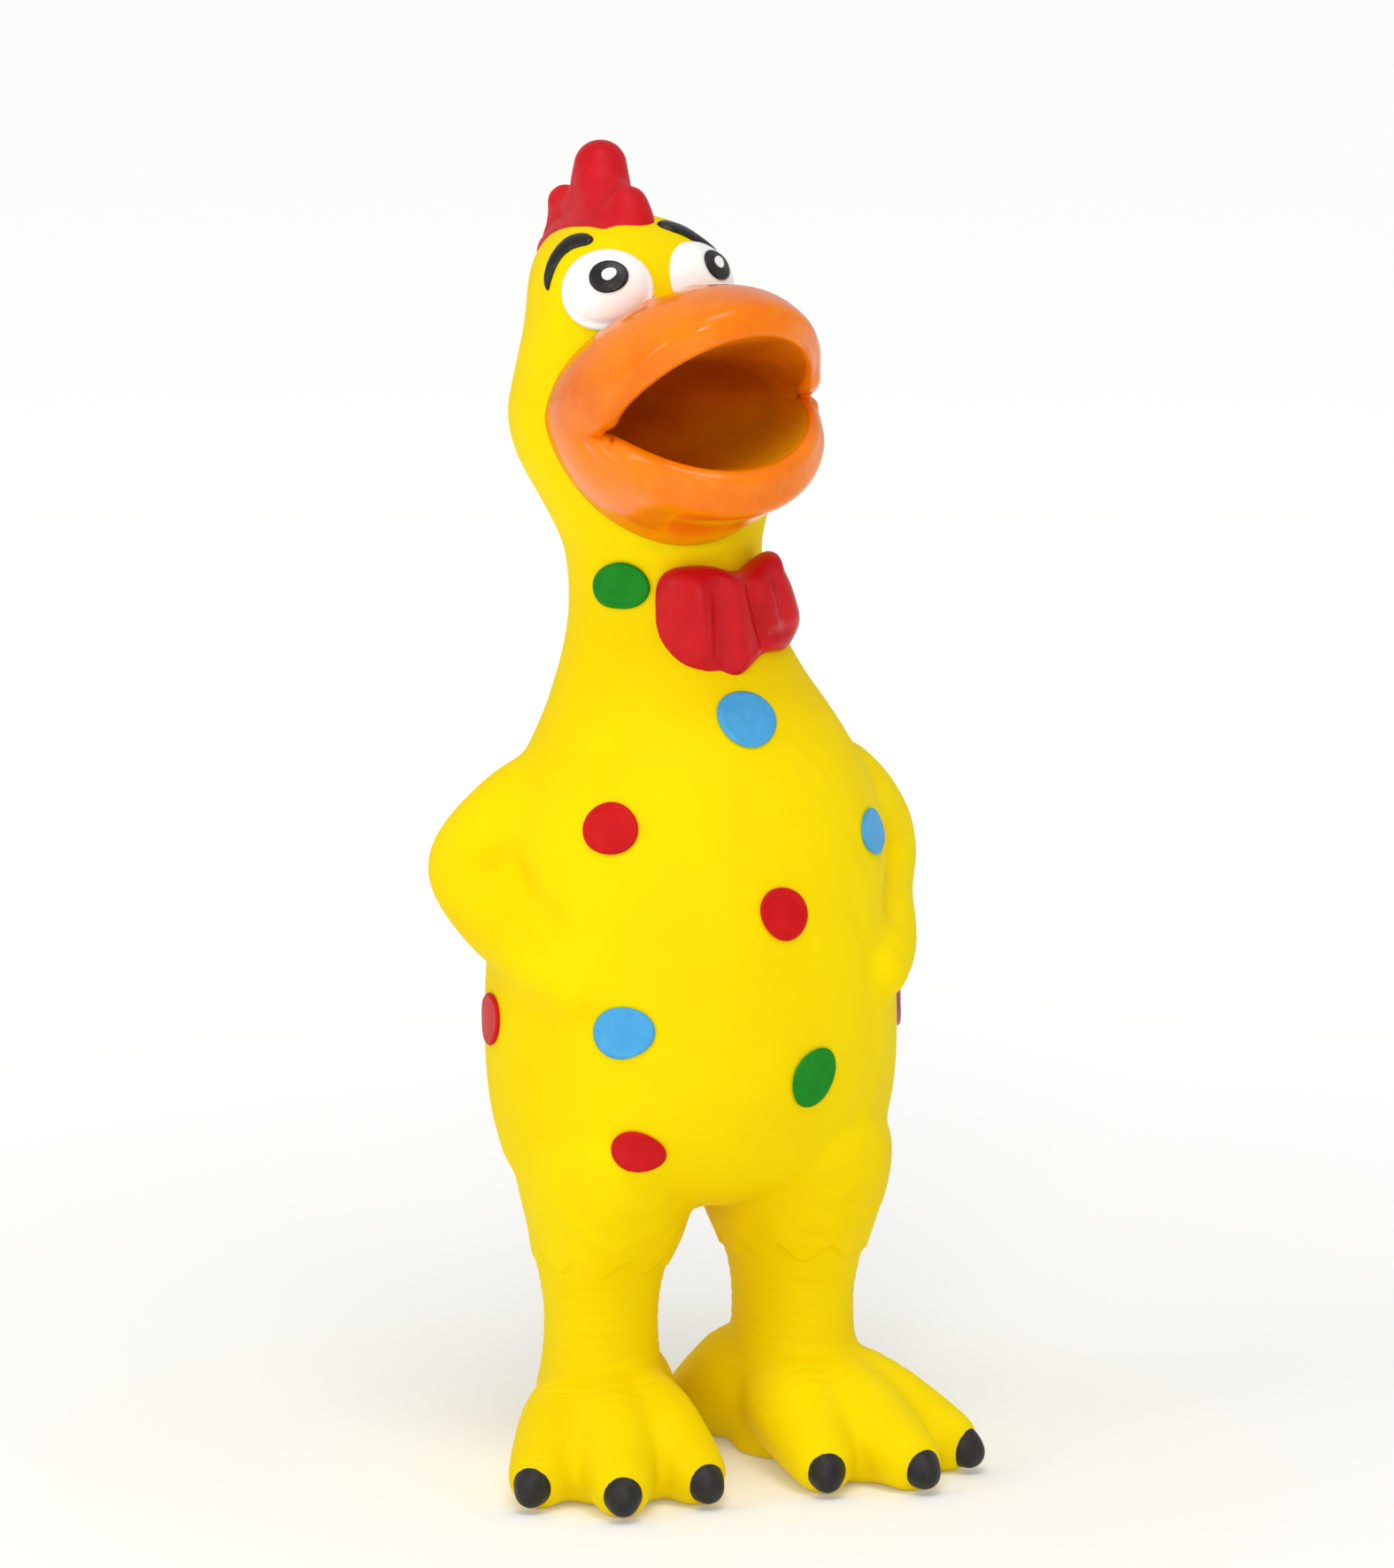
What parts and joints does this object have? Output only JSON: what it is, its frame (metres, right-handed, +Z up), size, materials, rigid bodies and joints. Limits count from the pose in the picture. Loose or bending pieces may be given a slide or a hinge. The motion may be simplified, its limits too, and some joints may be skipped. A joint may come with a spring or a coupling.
{
  "type": "rubber chicken",
  "caption": "Hollow latex squeaking toy chicken, standing with hands on hips, with an open beak, bow tie, raised spots, a neck that twists and a reed squeaker in its back.",
  "frame": {"origin": "bottom centre of the whole chicken's box, on the plane that its soles stand on", "axes": "+Z up, the chicken faces -Y and its left side is +X"},
  "size_m": [0.09, 0.0796, 0.2293],
  "materials": {
    "latex_yellow": "matt dip-moulded latex",
    "paint_orange": "glossy latex paint",
    "paint_brown": "satin latex paint",
    "paint_crimson": "satin latex paint",
    "paint_red": "satin latex paint",
    "paint_white": "satin latex paint",
    "paint_black": "glossy latex paint",
    "paint_green": "satin latex paint",
    "paint_blue": "satin latex paint",
    "paint_spot_red": "satin latex paint",
    "paint_purple": "satin latex paint",
    "paint_claw": "satin latex paint",
    "squeaker_plastic": "moulded polyethylene",
    "reed_film": "thin plastic film"
  },
  "bodies": {
    "torso": {"torso_skin": "latex_yellow", "neck_skin": "latex_yellow", "bow_tie": "paint_red", "neck_spot_green": "paint_green", "chest_spot_blue": "paint_blue", "breast_spot_red": "paint_spot_red", "belly_spot_red": "paint_spot_red", "side_spot_blue": "paint_blue", "belly_spot_blue": "paint_blue", "belly_spot_green": "paint_green", "low_spot_red": "paint_spot_red", "hip_spot_red": "paint_spot_red", "hip_spot_purple": "paint_purple", "shoulder_spot_green": "paint_green", "back_spot_blue": "paint_blue", "rump_spot_red": "paint_spot_red", "thigh_spot_green": "paint_green", "right_inner_claw": "paint_claw", "right_middle_claw": "paint_claw", "right_outer_claw": "paint_claw", "right_back_claw": "paint_claw", "left_inner_claw": "paint_claw", "left_middle_claw": "paint_claw", "left_outer_claw": "paint_claw", "left_back_claw": "paint_claw", "squeaker_barrel": "squeaker_plastic", "squeaker_cap": "squeaker_plastic", "reed_seat": "squeaker_plastic"},
    "head": {"head_skin": "latex_yellow", "mouth_lining": "paint_brown", "upper_beak": "paint_orange", "lower_beak": "paint_orange", "comb": "paint_crimson", "right_eye_white": "paint_white", "right_pupil": "paint_black", "right_glint": "paint_white", "left_eye_white": "paint_white", "left_pupil": "paint_black", "left_glint": "paint_white", "right_brow": "paint_black", "left_brow": "paint_black"},
    "reed": {"reed": "reed_film"}
  },
  "joints": [
    {"name": "neck_twist", "type": "hinge", "parent": "torso", "child": "head", "pos_m": [-0.0026, 0.0128, 0.161], "axis": [0, 0, 1], "range_deg": [-25, 25], "stiffness_Nm_per_rad": 0.12, "deforming": ["neck_skin"]},
    {"name": "reed_flutter", "type": "hinge", "parent": "torso", "child": "reed", "pos_m": [0, 0.0292, 0.07635], "axis": [1, 0, 0], "range_deg": [-5, 5], "stiffness_Nm_per_rad": 0.0002}
  ]
}
